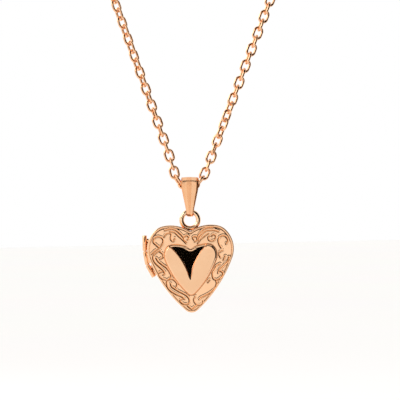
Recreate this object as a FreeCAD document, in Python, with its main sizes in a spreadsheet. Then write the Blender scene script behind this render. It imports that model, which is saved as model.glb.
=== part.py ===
"""A heart locket on a cable chain.

Frame: millimetres, +Z up, the front of the locket faces -Y. The origin is the centre of the
bail's eye, where the chain carries the pendant. The seam between the two covers lies at y = 0.
"""

import FreeCAD, Part
import Sketcher
import math
import os
from FreeCAD import Placement, Rotation, Vector

SIZES = [
    # the heart outline: tangent arcs from the tip up round the lobe to the cleft
    ("heart_tip_height", -26.64, "height of the heart's tip"),
    ("heart_tip_radius", 1.87, "blunt tip"),
    ("heart_side_radius", 27.63, "long side"),
    ("heart_lobe_radius", 5.56, "outside of a lobe"),
    ("heart_shoulder_radius", 3.4, "shoulder of a lobe"),
    ("heart_top_radius", 7.1, "top of a lobe"),
    ("heart_cleft_radius", 0.5, "rounding of the cleft"),
    ("heart_side_angle", -48.3, "joint of tip and side"),
    ("heart_lobe_angle", -20.9, "joint of side and lobe"),
    ("heart_shoulder_angle", 45, "joint of lobe and shoulder"),
    ("heart_top_angle", 77.4, "joint of shoulder and top"),
    # the raised dome in the middle of the front cover, a smaller heart
    ("dome_tip_height", 3.65, "tip of the dome above the tip of the heart"),
    ("dome_tip_radius", 0.98, "blunt tip of the dome"),
    ("dome_side_radius", 19.12, "long side of the dome"),
    ("dome_lobe_radius", 2.65, "outside of the dome's lobe"),
    ("dome_shoulder_radius", 1.6, "shoulder of the dome's lobe"),
    ("dome_top_radius", 4.5, "top of the dome's lobe"),
    ("dome_cleft_radius", 0.3, "rounding of the dome's cleft"),
    ("dome_side_angle", -46.07, "joint of the dome's tip and side"),
    ("dome_lobe_angle", -20.35, "joint of side and lobe"),
    ("dome_shoulder_angle", 40, "joint of lobe and shoulder"),
    ("dome_top_angle", 80, "joint of shoulder and top"),
    # the stamped covers
    ("sheet", 0.35, "thickness of the stamped sheet"),
    ("wall_depth", 1.2, "straight wall of a cover"),
    ("border_depth", 2.05, "front cover at the foot of the dome"),
    ("dome_depth", 3.0, "front cover at the top of the dome"),
    ("back_depth", 2.0, "back cover at its middle"),
    ("lip_reach", 0.5, "lip past the seam"),
    ("lip_wall", 0.24, "thickness of the lip"),
    ("lip_clearance", 0.06, "lip to the front cover"),
    ("lip_seat", 0.95, "depth of the lip's seat inside the back cover"),
    ("bead_radius", 0.22, "snap bead"),
    ("bead_inset", 0.53, "middle of the bead inside the right lobe's outline"),
    ("bead_height", 13.23, "bead above the tip of the heart"),
    ("stack_gap", 0.02, "air between a frame, its window and its photo"),
    ("frame_width", 0.85, "band of a photo frame"),
    ("frame_thickness", 0.3, "sheet of a photo frame"),
    ("window_thickness", 0.16, "clear sheet over the photo"),
    ("card_thickness", 0.14, "photo card"),
    ("pendant_roll", 1.2, "the hinge side hangs lower"),
    ("seam_offset", 0.5, "seam in front of the top ring's middle"),
    # the hinge
    ("tube_radius", 0.46, "outside of a knuckle"),
    ("bore_radius", 0.27, "inside of a knuckle"),
    ("pin_radius", 0.24, "hinge wire"),
    ("knuckle_length", 2.65, "each of the three tubes"),
    ("knuckle_gap", 0.28, "between two tubes"),
    ("hinge_x", -9.33, "middle of the middle knuckle"),
    ("hinge_z", -15.13, "middle of the middle knuckle"),
    ("upper_lean", 0, "lean of the upper knuckle"),
    ("hinge_lean", 9, "lean of the middle knuckle"),
    ("lower_lean", 28, "lean of the lower knuckle"),
    ("lug_thickness", 0.38, "soldering lug of a knuckle"),
    ("lug_reach", 1.9, "lug from the tube's middle into the cover's wall"),
    ("lug_share", 0.8, "lug's share of the knuckle's length"),
    ("pin_end", 0.06, "pin past each end of the hinge"),
    # the ring and the bail
    ("ring_radius", 1.7, "centre line of the top ring"),
    ("ring_wire_radius", 0.46, "wire of the top ring"),
    ("ring_height", -7.37, "centre of the top ring"),
    ("eye_radius", 1.33, "inside of the bail's eye"),
    ("bail_loop_radius", 0.75, "inside of the bail's lower loop"),
    ("bail_sheet", 0.3, "thickness of the bail's strip"),
    ("bail_width", 3.6, "at the eye"),
    ("bail_foot_width", 1.4, "at the lower loop"),
    ("bail_taper_start", 0.6, "below the eye's centre"),
    # the chain
    ("link_length", 3.0, "outside"),
    ("link_width", 2.2, "outside"),
    ("link_wire_radius", 0.27, "wire of a link"),
    ("link_pitch", 1.85, "from joint to joint along a strand"),
    ("left_strand_links", 22, "straight links"),
    ("right_strand_links", 21, "straight links"),
    # the ends of the chain
    ("jump_radius", 1.2, "centre line of a jump ring"),
    ("jump_wire_radius", 0.3, "wire of a jump ring"),
    ("clasp_radius", 2.3, "centre line of the clasp's ring"),
    ("clasp_tube_radius", 0.65, "outside of the clasp's tube"),
    ("clasp_bore_radius", 0.4, "inside of the clasp's tube"),
    ("lever_radius", 0.36, "rod that slides in the tube"),
    ("clasp_eye_radius", 0.75, "centre line of the clasp's eye"),
    ("clasp_eye_wire", 0.3, "wire of the clasp's eye"),
    ("clasp_gate", 50, "degrees of the clasp's ring left open for the rod"),
    ("clasp_slot_width", 0.5, "slot that the lever's tab slides in"),
    ("clasp_slot_angle", 58, "degrees of that slot"),
    ("lever_sweep", 76, "degrees of the sliding rod"),
    ("lever_tab_radius", 0.21, "thumb tab of the lever"),
    ("lever_tab_length", 1.25, "thumb tab from the tube's middle"),
    ("spring_sweep", 125, "degrees of the clasp's spring"),
    ("spring_wire", 0.12, "thickness of the spring"),
    ("tag_width", 4.2, "across the tag's large end"),
    ("tag_pitch", 4.0, "between the tag's two holes"),
    ("tag_thickness", 0.6, "plate of the tag"),
    ("tag_hole_radius", 1.1, "hole that takes a clasp"),
    ("tag_small_hole_radius", 0.85, "hole on the jump ring"),
    ("tag_rim", 0.65, "metal round the small hole"),
]

doc = FreeCAD.newDocument("locket")
sheet = doc.addObject("Spreadsheet::Sheet", "Sizes")
for row, (alias, size, note) in enumerate(SIZES, start=1):
    sheet.set(f"A{row}", note)
    sheet.set(f"B{row}", str(size))
    sheet.setAlias(f"B{row}", alias)
doc.recompute()

nodes = []


def size(alias):
    return float(getattr(sheet, alias))


def keep(thing, name):
    """Gives a finished piece its name."""
    thing.Label = name
    nodes.append(thing)
    return thing


def feature(name, shape):
    thing = doc.addObject("Part::Feature", name)
    thing.Shape = shape
    return thing


def primitive(kind, name, place=None, **bound):
    """A Part primitive whose sizes are expressions on the sheet."""
    thing = doc.addObject(f"Part::{kind}", name)
    for key, expression in bound.items():
        thing.setExpression(key, expression)
    if place:
        thing.Placement = place
    return thing


def cut(name, base, tool):
    thing = doc.addObject("Part::Cut", name)
    thing.Base = base
    thing.Tool = tool
    return thing


def fuse(name, pieces):
    thing = doc.addObject("Part::MultiFuse", name)
    thing.Shapes = pieces
    return thing


def unit(degrees):
    """A unit vector in the XZ plane, its angle measured up from +X."""
    turn = math.radians(degrees)
    return Vector(math.cos(turn), 0, math.sin(turn))


def hang(thing):
    """Hangs a finished piece from the top ring: the seam in front of it, the hinge side low."""
    middle = Vector(0, 0, size("ring_height"))
    roll = Rotation(Vector(0, -1, 0), size("pendant_roll"))
    forward = Placement(Vector(0, -size("seam_offset"), 0), Rotation())
    doc.recompute()
    thing.Placement = Placement(Vector(), roll, middle).multiply(forward).multiply(thing.Placement)
    return thing


# ---------------------------------------------------------------- the heart outline


def heart_wire(kind, inset=0.0, scale=1.0, depth=0.0):
    """The closed outline of the heart or of the dome, moved in by inset, at y = depth.

    Each arc is tangent to the next, so the next centre lies on the line through the joint.
    """
    joints = [size(f"{kind}_{part}_angle") for part in ("side", "lobe", "shoulder", "top")]
    radii = [size(f"{kind}_{part}_radius") for part in ("tip", "side", "lobe", "shoulder", "top")]
    cleft = size(f"{kind}_cleft_radius")
    centres = [Vector(0, 0, radii[0])]
    for angle, before, after in zip(joints, radii, radii[1:]):
        centres.append(centres[-1] + unit(angle) * (before - after))
    top = centres[-1]
    rise = math.sqrt((radii[-1] + cleft) ** 2 - top.x**2)
    cleft_centre = Vector(0, 0, top.z + rise)
    last_joint = math.degrees(math.atan2(rise, -top.x))
    starts = [-90] + joints
    ends = joints + [last_joint]
    half = []
    for centre, radius, start, end in zip(centres, radii, starts, ends):
        points = [centre + unit(a) * (radius - inset) for a in (start, (start + end) / 2, end)]
        half.append(points)
    notch = [last_joint + 180, (last_joint + 180 + 270) / 2, 270]
    half.append([cleft_centre + unit(a) * (cleft + inset) for a in notch])
    mirrored = [[Vector(-p.x, 0, p.z) for p in reversed(arc)] for arc in reversed(half)]
    middle = Vector(0, 0, (radii[0] + top.z) / 2)
    lift = size("heart_tip_height") + (size("dome_tip_height") if kind == "dome" else 0)
    edges = []
    for arc in half + mirrored:
        placed = [middle + (p - middle) * scale + Vector(0, depth, lift) for p in arc]
        edges.append(Part.Arc(*placed).toShape())
    return Part.Wire(edges)


def heart_loft(name, kind, sections):
    """A solid through outlines given as (inset, scale, y)."""
    wires = []
    for number, (inset, scale, depth) in enumerate(sections):
        wires.append(feature(f"{name}_{number}", heart_wire(kind, inset, scale, depth)))
    loft = doc.addObject("Part::Loft", name)
    loft.Sections = wires
    loft.Solid = True
    loft.Ruled = True
    return loft


def heart_slab(name, inset, start, end, length=None):
    """A flat heart between y = start and y = end, its length an expression where one is given."""
    slab = doc.addObject("Part::Extrusion", name)
    slab.Base = feature(f"{name}_outline", heart_wire("heart", inset, 1.0, start))
    slab.DirMode = "Custom"
    slab.Dir = Vector(0, 1 if end > start else -1, 0)
    slab.LengthFwd = abs(end - start)
    if length:
        slab.setExpression("LengthFwd", length)
    slab.Solid = True
    return slab


# ---------------------------------------------------------------- the covers


def front_cover():
    """A stamped shell: straight wall, puffed border and heart-shaped dome."""
    t = size("sheet")
    wall = size("wall_depth")
    border = size("border_depth")
    dome = size("dome_depth")
    outside = heart_loft("front_outside", "heart", [
        (0, 1, 0), (0, 1, -wall), (0.25, 1, -wall - 0.35),
        (0.25, 0.93, -border + 0.3), (0.25, 0.62, -border),
    ])
    inside = heart_loft("front_inside", "heart", [
        (t, 1, 0.1), (t, 1, 0.1 - wall), (t + 0.2, 1, 0.1 - wall - 0.2),
        (t + 0.2, 0.92, -border + 0.6), (t + 0.2, 0.62, -border + t),
    ])
    boss = heart_loft("dome_outside", "dome", [
        (0, 1, -border + 0.25), (0, 1, -border - 0.2), (0.3, 1, -border - 0.5),
        (0.3, 0.8, -dome + 0.15), (0.3, 0.45, -dome),
    ])
    hollow = heart_loft("dome_inside", "dome", [
        (t, 1, -border + 0.6), (t, 1, -border - 0.02), (t + 0.25, 1, -border - 0.25),
        (t + 0.25, 0.78, -dome + 0.15 + t), (t + 0.25, 0.42, -dome + t),
    ])
    stamped = fuse("front_stamped", [outside, boss])
    walls = cut("front_walls", stamped, inside)
    return keep(hang(cut("front_cover", walls, hollow)), "front_cover")


def back_cover():
    """The plain, gently domed back."""
    t = size("sheet")
    wall = size("wall_depth")
    back = size("back_depth")
    outside = heart_loft("back_outside", "heart", [
        (0, 1, 0), (0, 1, wall), (0.25, 1, wall + 0.3), (0.25, 0.9, back - 0.25), (0.25, 0.55, back),
    ])
    inside = heart_loft("back_inside", "heart", [
        (t, 1, -0.1), (t, 1, wall - 0.1), (t + 0.2, 1, wall + 0.05),
        (t + 0.2, 0.9, back - 0.24 - t), (t + 0.2, 0.55, back - t),
    ])
    seat_at = Vector(0, size("seam_offset"), size("ring_height"))
    seat = primitive("Torus", "ring_seat", Placement(seat_at, Rotation(Vector(1, 0, 0), 90)),
                     Radius1="Sizes.ring_radius", Radius2="Sizes.ring_wire_radius + 0.003")
    tools = fuse("back_tools", [inside, seat])
    return keep(hang(cut("back_cover", outside, tools)), "back_cover")


def bead(name, grow=0.0):
    """The snap bead's ball, on the right-hand lobe just in front of the seam."""
    lobe = heart_wire("heart").BoundBox
    height = size("heart_tip_height") + size("bead_height")
    ball = primitive("Sphere", name, Radius=f"Sizes.bead_radius + {grow}")
    ball.Placement = Placement(Vector(lobe.XMax - size("bead_inset"), -size("lip_reach") / 2, height), Rotation())
    return ball


def lip():
    """The band soldered inside the back cover that the front cover closes over."""
    t = size("sheet")
    clear = t + size("lip_clearance")
    inner = clear + size("lip_wall")
    seat = heart_slab("lip_seat", t + 0.005, 0.06, size("lip_seat"))
    guide = heart_slab("lip_guide", clear, -size("lip_reach"), 0.1)
    band = fuse("lip_band", [seat, guide])
    opening = heart_slab("lip_opening", inner, -1.5, 1.5)
    hole = bead("bead_hole", 0.005)
    tools = fuse("lip_tools", [opening, hole])
    return keep(hang(cut("inner_lip", band, tools)), "inner_lip")


def photo_set(side, inset, start, way):
    """A frame, a clear window and a photo card, stacked from the seam into a cover."""
    thick = size("frame_thickness")
    window = size("window_thickness")
    card = size("card_thickness")
    gap = size("stack_gap")
    rim = heart_slab(f"rim_{side}", inset, start, start + way * thick, "Sizes.frame_thickness")
    sight = heart_slab(f"sight_{side}", inset + size("frame_width"), start - way, start + 2 * way)
    keep(hang(cut(f"frame_{side}", rim, sight)), f"frame_{side}")
    at = start + way * (thick + gap)
    pane = heart_slab(f"pane_{side}", inset + 0.03, at, at + way * window, "Sizes.window_thickness")
    keep(hang(pane), f"window_{side}")
    at += way * (window + gap)
    photo = heart_slab(f"card_{side}", inset + 0.25, at, at + way * card, "Sizes.card_thickness")
    keep(hang(photo), f"photo_{side}")


# ---------------------------------------------------------------- the hinge


def knuckle_centres():
    """Centres and leans of the upper, middle and lower knuckles, end to end along a bent pin."""
    middle = Vector(size("hinge_x"), 0, size("hinge_z"))
    reach = (size("knuckle_length") + size("knuckle_gap")) / 2
    lean = size("hinge_lean")
    up = unit(90 + lean)
    top_bend = middle + up * reach
    low_bend = middle - up * reach
    upper = top_bend + unit(90 + size("upper_lean")) * reach
    lower = low_bend - unit(90 + size("lower_lean")) * reach
    return {
        "upper": (upper, size("upper_lean")),
        "middle": (middle, lean),
        "lower": (lower, size("lower_lean")),
    }


def knuckle(name, which, side):
    """A tube with a lug that is soldered to a cover: side is -1 for the front, 1 for the back."""
    centre, lean = knuckle_centres()[which]
    turn = Rotation(Vector(0, -1, 0), lean)
    at = Placement(centre, turn)
    half = size("knuckle_length") / 2
    foot = at.multiply(Placement(Vector(0, 0, -half), Rotation()))
    tube = primitive("Cylinder", f"{name}_tube", foot,
                     Radius="Sizes.tube_radius", Height="Sizes.knuckle_length")
    outer_face = size("seam_offset")
    low = outer_face - size("lug_thickness") if side > 0 else -outer_face
    corner = at.multiply(Placement(Vector(0, low, -half * size("lug_share")), Rotation()))
    lug = primitive("Box", f"{name}_lug", corner, Length="Sizes.lug_reach",
                    Width="Sizes.lug_thickness", Height="Sizes.knuckle_length * Sizes.lug_share")
    body = fuse(f"{name}_body", [tube, lug])
    bore = primitive("Cylinder", f"{name}_bore", foot,
                     Radius="Sizes.bore_radius", Height="Sizes.knuckle_length")
    shell = heart_slab(f"{name}_shell", -0.005, -2, 2)
    tools = fuse(f"{name}_tools", [bore, shell])
    return keep(hang(cut(name, body, tools)), name)


def hinge_pin():
    """A wire through the three knuckles, bent in the gaps between them."""
    centres = knuckle_centres()
    reach = size("knuckle_length") / 2 + size("pin_end")
    upper, upper_lean = centres["upper"]
    middle, lean = centres["middle"]
    lower, lower_lean = centres["lower"]
    bend = (size("knuckle_length") + size("knuckle_gap")) / 2
    points = [
        upper + unit(90 + upper_lean) * reach,
        middle + unit(90 + lean) * bend,
        middle - unit(90 + lean) * bend,
        lower - unit(90 + lower_lean) * reach,
    ]
    path = feature("pin_path", Part.makePolygon(points))
    along = points[1] - points[0]
    section = feature("pin_section", Part.Wire(Part.makeCircle(size("pin_radius"), points[0], along)))
    pin = doc.addObject("Part::Sweep", "hinge_pin")
    pin.Sections = [section]
    pin.Spine = (path, ["Edge1", "Edge2", "Edge3"])
    pin.Solid = True
    pin.Transition = "Right corner"
    return keep(hang(pin), "hinge_pin")


# ---------------------------------------------------------------- the ring and the bail


def top_ring():
    """The closed ring soldered into the cleft, over the back cover's wall."""
    stand = Placement(Vector(0, 0, size("ring_height")), Rotation(Vector(1, 0, 0), 90))
    ring = primitive("Torus", "top_ring", stand,
                     Radius1="Sizes.ring_radius", Radius2="Sizes.ring_wire_radius")
    return keep(ring, "top_ring")


def plane(body, role):
    return next(f for f in body.Origin.OriginFeatures if f.Role == role)


def sketch_on(body, role, name):
    sketch = body.newObject("Sketcher::SketchObject", name)
    sketch.AttachmentSupport = [(plane(body, role), "")]
    sketch.MapMode = "FlatFace"
    return sketch


def band_profile(sketch, top, foot, drop):
    """Two circles joined by their outer tangent lines: the side of a folded strip."""
    lift = math.asin((top - foot) / drop)
    eye = Part.Circle(Vector(0, 0, 0), Vector(0, 0, 1), top)
    loop = Part.Circle(Vector(0, -drop, 0), Vector(0, 0, 1), foot)
    sketch.addGeometry(Part.ArcOfCircle(eye, lift, math.pi - lift))
    sketch.addGeometry(Part.ArcOfCircle(loop, math.pi - lift, 2 * math.pi + lift))
    for way in (1, -1):
        side = Vector(way * math.cos(lift), math.sin(lift), 0)
        sketch.addGeometry(Part.LineSegment(side * top, side * foot + Vector(0, -drop, 0)))


def bail():
    """A strip folded over the chain and round the ring, tapered towards the ring."""
    body = doc.addObject("PartDesign::Body", "bail")
    sheet_size = size("bail_sheet")
    drop = -(size("ring_height") + size("ring_radius"))
    side = sketch_on(body, "YZ_Plane", "bail_side")
    band_profile(side, size("eye_radius") + sheet_size, size("bail_loop_radius") + sheet_size, drop)
    band_profile(side, size("eye_radius"), size("bail_loop_radius"), drop)
    pad = body.newObject("PartDesign::Pad", "bail_strip")
    pad.Profile = side
    pad.setExpression("Length", "Sizes.bail_width")
    pad.Midplane = True
    doc.recompute()
    whole = body.Shape.Volume
    taper = sketch_on(body, "XZ_Plane", "bail_taper")
    wide = size("bail_width") / 2
    foot = size("bail_foot_width") / 2
    start = -size("bail_taper_start")
    end = -drop - size("bail_loop_radius") - sheet_size
    for way in (1, -1):
        corners = [(wide, start), (foot, end + 0.3), (foot, end - 1), (wide + 1, end - 1), (wide + 1, start)]
        points = [Vector(way * x, y, 0) for x, y in corners]
        for a, b in zip(points, points[1:] + points[:1]):
            sketch_line = Part.LineSegment(a, b)
            taper.addGeometry(sketch_line)
    trim = body.newObject("PartDesign::Pocket", "bail_trim")
    trim.Profile = taper
    trim.Type = "ThroughAll"
    trim.Midplane = True
    doc.recompute()
    if not 0.5 * whole < body.Shape.Volume < 0.9 * whole:
        raise ValueError("the bail's taper is wrong")
    return keep(body, "bail")


# ---------------------------------------------------------------- the chain


def link_shape():
    """One oval link of round wire, lying along +X in the XZ plane, centred on the origin."""
    wire = size("link_wire_radius")
    bend = size("link_width") / 2 - wire
    run = (size("link_length") - size("link_width")) / 2
    ends = []
    for way in (1, -1):
        ring = Part.makeTorus(bend, wire, Vector(way * run, 0, 0), Vector(0, 1, 0))
        half = Part.makeBox(9, 9, 9, Vector(way * run + (0 if way > 0 else -9), -4.5, -4.5))
        ends.append(ring.common(half))
        ends.append(Part.makeCylinder(wire, 2 * run, Vector(-run, 0, way * bend), Vector(1, 0, 0)))
    return ends[0].fuse(ends[1:]).removeSplitter()


def turned(shape, middle, heading, roll):
    """A shape made along +X, rolled about its own length and set along a heading in XZ."""
    placed = shape.copy()
    turn = Rotation(Vector(0, -1, 0), heading).multiply(Rotation(Vector(1, 0, 0), roll))
    placed.Placement = Placement(middle, turn)
    return placed


# The chain's joint in the middle of the bail's eye, then each link's heading and roll.
# A roll of 0 shows the link's face to the front, and 90 shows its edge.
EYE_JOINT = Vector(-0.25, 0, -0.35)
LEFT_LINKS = [(165, 36), (129, 108), (95, 180)]
RIGHT_LINKS = [(12, -36), (48, -98), (70, -165)]
# Each straight strand: its heading, the roll it starts from, the extra twist of each link, and
# how many links it twists over before it settles.
LEFT_STRAND = (109.5, 180, 2.5, 14)
RIGHT_STRAND = (69.4, -165, -9, 10)


def strand_links(first, strand, count):
    """(middle, heading, roll) of every link from the eye to the strand's end, and the end."""
    heading, roll, twist, settles = strand
    turn = math.copysign(90, twist)
    run = first + [(heading, roll + turn * n + twist * min(n, settles)) for n in range(1, count + 1)]
    joint = EYE_JOINT
    links = []
    for heading, roll in run:
        step = unit(heading) * size("link_pitch")
        links.append((joint + step * 0.5, heading, roll))
        joint = joint + step
    return links, joint


def chain():
    link = link_shape()
    left, left_end = strand_links(LEFT_LINKS, LEFT_STRAND, int(size("left_strand_links")))
    right, right_end = strand_links(RIGHT_LINKS, RIGHT_STRAND, int(size("right_strand_links")))
    groups = {"chain_middle": [left[0], right[0]], "chain_left": left[1:], "chain_right": right[1:]}
    for name, links in groups.items():
        solids = [turned(link, *place) for place in links]
        keep(feature(name, Part.makeCompound(solids)), name)
    return left[-1], left_end, right[-1], right_end


def ring_after(end, heading, radius, wire, before_wire):
    """Middle of a ring whose wire hooks inside a wire that ends at end."""
    return end + unit(heading) * (radius - wire - before_wire - 0.03)


def jump_ring(name, middle, heading, last_roll):
    """A ring square to the middle of what it joins: the last link and a fitting that faces front."""
    roll = 90 + ((last_roll + 90) % 180 - 90) / 2
    ring = Part.makeTorus(size("jump_radius"), size("jump_wire_radius"), Vector(), Vector(0, 1, 0))
    return keep(feature(name, turned(ring, middle, heading, roll)), name)


def clasp(last_link, end):
    """A spring ring clasp: hollow ring with an eye, a sliding lever and its spring."""
    _, heading, roll = last_link
    ahead = unit(heading)
    link_bar = end + ahead * (size("link_length") - size("link_pitch") - 2 * size("link_wire_radius")) / 2
    jump_wire = size("jump_wire_radius")
    jump_radius = size("jump_radius")
    jump_middle = ring_after(link_bar, heading, jump_radius, jump_wire, size("link_wire_radius"))
    jump_ring("jump_ring_left", jump_middle, heading, roll)
    jump_bar = jump_middle + ahead * jump_radius
    eye = size("clasp_eye_radius")
    eye_wire = size("clasp_eye_wire")
    eye_middle = ring_after(jump_bar, heading, eye, eye_wire, jump_wire)
    tube = size("clasp_tube_radius")
    radius = size("clasp_radius")
    middle = eye_middle + ahead * (eye + eye_wire - 0.05 + tube + radius)
    face = Rotation(Vector(1, 0, 0), 90)

    def arc(name, wire, start, sweep):
        place = Placement(middle, Rotation(Vector(0, -1, 0), start).multiply(face))
        return primitive("Torus", name, place, Radius1="Sizes.clasp_radius", Radius2=wire, Angle3=sweep)

    mouth = heading + 60
    gate = size("clasp_gate")
    shell = arc("clasp_shell", "Sizes.clasp_tube_radius", mouth + gate, "360 - Sizes.clasp_gate")
    loop = primitive("Torus", "clasp_eye", Placement(eye_middle, face),
                     Radius1="Sizes.clasp_eye_radius", Radius2="Sizes.clasp_eye_wire")
    joined = fuse("clasp_joined", [shell, loop])
    bore = arc("clasp_bore", "Sizes.clasp_bore_radius", mouth + gate - 6, "165")
    slot_turn = Rotation(Vector(0, -1, 0), mouth + gate + 12).multiply(face)
    slot_place = Placement(middle, slot_turn).multiply(
        Placement(Vector(0, 0, -size("clasp_slot_width") / 2), Rotation()))
    slot_outer = primitive("Cylinder", "slot_outer", slot_place, Radius="Sizes.clasp_radius + 1.5",
                           Height="Sizes.clasp_slot_width", Angle="Sizes.clasp_slot_angle")
    slot_inner = primitive("Cylinder", "slot_inner", slot_place, Radius="Sizes.clasp_radius",
                           Height="Sizes.clasp_slot_width", Angle="Sizes.clasp_slot_angle")
    slot = cut("clasp_slot", slot_outer, slot_inner)
    tools = fuse("clasp_tools", [bore, slot])
    keep(cut("clasp_body", joined, tools), "clasp_body")
    rod = arc("lever_rod", "Sizes.lever_radius", mouth + 2, "Sizes.lever_sweep")
    tab_at = mouth + gate + 17
    tab_turn = Rotation(Vector(0, -1, 0), tab_at).multiply(Rotation(Vector(0, 1, 0), 90))
    tab = primitive("Cylinder", "lever_tab", Placement(middle + unit(tab_at) * radius, tab_turn),
                    Radius="Sizes.lever_tab_radius", Height="Sizes.lever_tab_length")
    keep(fuse("clasp_lever", [rod, tab]), "clasp_lever")
    rod_end = mouth + 2 + size("lever_sweep")
    spring = arc("spring_outside", "Sizes.lever_radius", rod_end + 2, "Sizes.spring_sweep")
    hollow = arc("spring_hollow", "Sizes.lever_radius - Sizes.spring_wire", rod_end + 1,
                 "Sizes.spring_sweep + 2")
    keep(cut("clasp_spring", spring, hollow), "clasp_spring")
    return middle


def tag(last_link, end):
    """The flat tag at the other end, which the clasp hooks into."""
    _, heading, roll = last_link
    ahead = unit(heading)
    link_bar = end + ahead * (size("link_length") - size("link_pitch") - 2 * size("link_wire_radius")) / 2
    jump_wire = size("jump_wire_radius")
    jump_radius = size("jump_radius")
    jump_middle = ring_after(link_bar, heading, jump_radius, jump_wire, size("link_wire_radius"))
    jump_ring("jump_ring_right", jump_middle, heading, roll)
    jump_bar = jump_middle + ahead * jump_radius
    hole = size("tag_small_hole_radius")
    small = jump_bar + ahead * (hole - jump_wire - 0.12)
    body = doc.addObject("PartDesign::Body", "chain_tag")
    outline = sketch_on(body, "XZ_Plane", "tag_outline")
    pitch = size("tag_pitch")
    wide = size("tag_width") / 2
    narrow = hole + size("tag_rim")
    lean = math.asin((wide - narrow) / pitch)
    big_end = Part.Circle(Vector(pitch, 0, 0), Vector(0, 0, 1), wide)
    small_end = Part.Circle(Vector(0, 0, 0), Vector(0, 0, 1), narrow)
    quarter = math.pi / 2
    outline.addGeometry(Part.ArcOfCircle(big_end, -quarter - lean, quarter + lean))
    outline.addGeometry(Part.ArcOfCircle(small_end, quarter + lean, 3 * quarter - lean))
    for way in (1, -1):
        side = Vector(-math.sin(lean), way * math.cos(lean), 0)
        outline.addGeometry(Part.LineSegment(side * narrow, side * wide + Vector(pitch, 0, 0)))
    holes = [(0, "Sizes.tag_small_hole_radius"), (pitch, "Sizes.tag_hole_radius")]
    for along, expression in holes:
        number = outline.addGeometry(Part.Circle(Vector(along, 0, 0), Vector(0, 0, 1), 1.0))
        bound = outline.addConstraint(Sketcher.Constraint("Radius", number, 1.0))
        outline.setExpression(f"Constraints[{bound}]", expression)
    pad = body.newObject("PartDesign::Pad", "tag_plate")
    pad.Profile = outline
    pad.setExpression("Length", "Sizes.tag_thickness")
    pad.Midplane = True
    body.Placement = Placement(small, Rotation(Vector(0, -1, 0), heading))
    keep(body, "chain_tag")
    return small + ahead * pitch


front_cover()
back_cover()
lip()
keep(hang(bead("snap_bead")), "snap_bead")
inset = size("sheet") + 0.01
photo_set("front", inset, -size("lip_reach") - 0.1, -1)
photo_set("back", size("sheet") + size("lip_clearance") + size("lip_wall") + 0.02, 0.1, 1)
knuckle("front_knuckle", "middle", -1)
knuckle("back_knuckle_upper", "upper", 1)
knuckle("back_knuckle_lower", "lower", 1)
hinge_pin()
top_ring()
bail()
last_left, left_end, last_right, right_end = chain()
clasp_middle = clasp(last_left, left_end)
tag_hole = tag(last_right, right_end)
doc.recompute()

for thing in doc.Objects:
    if "Invalid" in thing.State or "Error" in thing.State:
        raise ValueError(f"{thing.Name} did not build: {thing.State}")
for thing in nodes:
    if thing.Shape.isNull() or not thing.Shape.isValid() or not thing.Shape.Solids:
        raise ValueError(f"{thing.Label} is not a valid shape")

os.makedirs("parts", exist_ok=True)
for thing in nodes:
    thing.Shape.exportStep(f"parts/{thing.Label}.step")
    box = thing.Shape.BoundBox
    print(thing.Label, len(thing.Shape.Solids), round(thing.Shape.Volume, 3),
          [round(n, 2) for n in (box.XMin, box.YMin, box.ZMin, box.XMax, box.YMax, box.ZMax)])
print("clasp", clasp_middle, "tag hole", tag_hole, "ends", left_end, right_end)
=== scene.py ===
import bmesh
import bpy
import math
import numpy as np
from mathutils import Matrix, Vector


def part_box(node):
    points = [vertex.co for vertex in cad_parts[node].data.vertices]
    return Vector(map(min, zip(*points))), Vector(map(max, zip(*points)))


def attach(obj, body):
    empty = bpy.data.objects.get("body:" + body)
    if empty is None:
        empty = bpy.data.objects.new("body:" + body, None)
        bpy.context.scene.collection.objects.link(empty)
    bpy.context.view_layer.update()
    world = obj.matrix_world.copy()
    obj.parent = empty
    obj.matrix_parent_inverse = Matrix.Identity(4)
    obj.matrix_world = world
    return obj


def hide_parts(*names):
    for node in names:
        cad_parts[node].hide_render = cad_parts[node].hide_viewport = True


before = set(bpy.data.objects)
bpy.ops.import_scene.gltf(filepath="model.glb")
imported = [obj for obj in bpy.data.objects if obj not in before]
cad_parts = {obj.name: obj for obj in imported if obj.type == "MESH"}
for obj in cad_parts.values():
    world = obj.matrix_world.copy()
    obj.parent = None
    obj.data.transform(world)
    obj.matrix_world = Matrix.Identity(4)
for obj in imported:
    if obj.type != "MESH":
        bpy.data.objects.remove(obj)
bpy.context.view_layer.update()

# ---- The view and the light -------------------------------------------------------------
# The locket hangs in front of a white studio, seen square from the front with a long lens.
# Polished metal shows what stands round it: white walls, two softboxes on the left, and black
# cards above the lens, overhead and to the right that draw the dark lines.

MM = 0.001


def linear(colour):
    """An sRGB hex colour as linear red, green, blue and alpha."""
    parts = [int(colour[i:i + 2], 16) / 255 for i in (0, 2, 4)]
    return [c / 12.92 if c <= 0.04045 else ((c + 0.055) / 1.055) ** 2.4 for c in parts] + [1.0]


def add(tree, kind, values=None, links=None, **settings):
    """Adds one shader node: its settings, the values of its inputs and what is linked to them."""
    node = tree.nodes.new(kind)
    for key, setting in settings.items():
        setattr(node, key, setting)
    for key, value in (values or {}).items():
        node.inputs[key].default_value = value
    for key, source in (links or {}).items():
        tree.links.new(source, node.inputs[key])
    return node


def new_material(name):
    """A material with an empty node tree, and its output node."""
    material = bpy.data.materials.new(name)
    material.use_nodes = True
    material.node_tree.nodes.clear()
    return material, material.node_tree, material.node_tree.nodes.new("ShaderNodeOutputMaterial")


# A long lens 450 mm away; with its 36 mm sensor it takes in 83.7 mm across.
lens = bpy.data.cameras.new("long_lens")
lens.lens = 193.5
lens.sensor_width = 36
lens.clip_start = 0.01
camera = bpy.data.objects.new("camera", lens)
camera.location = Vector((2.1, -450, -3.2)) * MM
camera.rotation_euler = (math.radians(90), 0, 0)
bpy.context.scene.collection.objects.link(camera)
bpy.context.scene.camera = camera
bpy.context.scene.view_settings.view_transform = "Standard"

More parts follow.
